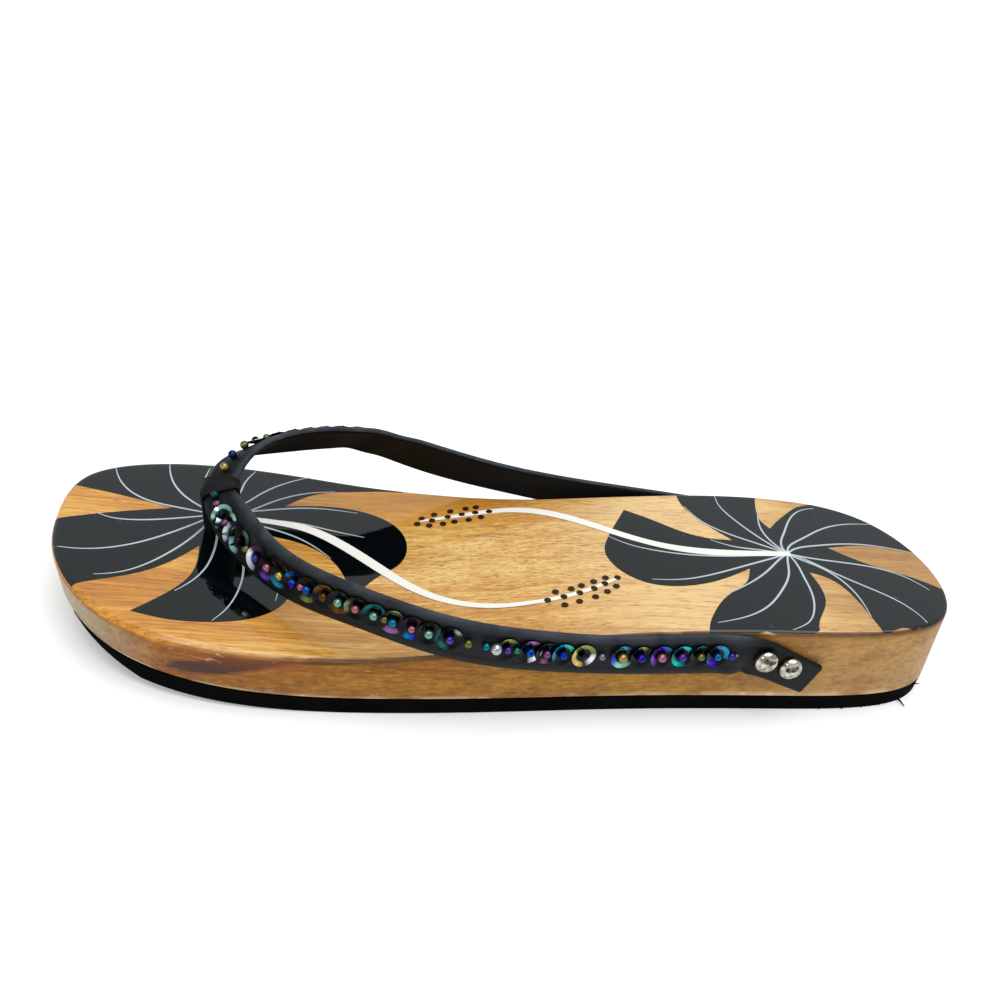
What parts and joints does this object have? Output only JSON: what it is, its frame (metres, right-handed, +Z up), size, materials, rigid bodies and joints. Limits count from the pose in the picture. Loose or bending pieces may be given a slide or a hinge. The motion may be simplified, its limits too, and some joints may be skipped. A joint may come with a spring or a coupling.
{
  "type": "wooden flip-flop",
  "caption": "Left flip-flop with a lacquered wooden sole on a rubber outsole, a nailed V-shaped leather strap with sequin trim, and a toe thong.",
  "frame": {"origin": "on the floor, under the middle of the sole's outline, on the outsole's flat underside", "axes": "+X from heel to toe, +Y to the outer side of the left foot, +Z up from the floor"},
  "size_m": [0.2473, 0.0864, 0.0442],
  "materials": {
    "wood": "clear lacquer with painted flowers",
    "rubber": "matte",
    "strap_leather": "coated, satin",
    "thong_leather": "coated, satin",
    "nail_plate": "bright nickel plate",
    "sequins": "iridescent film"
  },
  "bodies": {
    "root": {"outsole": "rubber", "wooden_sole": "wood", "strap": "strap_leather", "toe_thong": "thong_leather", "nail_outer_back": "nail_plate", "nail_outer_front": "nail_plate", "nail_inner_back": "nail_plate", "nail_inner_front": "nail_plate", "sequin_trim_outer": "sequins", "sequin_trim_inner": "sequins"}
  },
  "joints": []
}
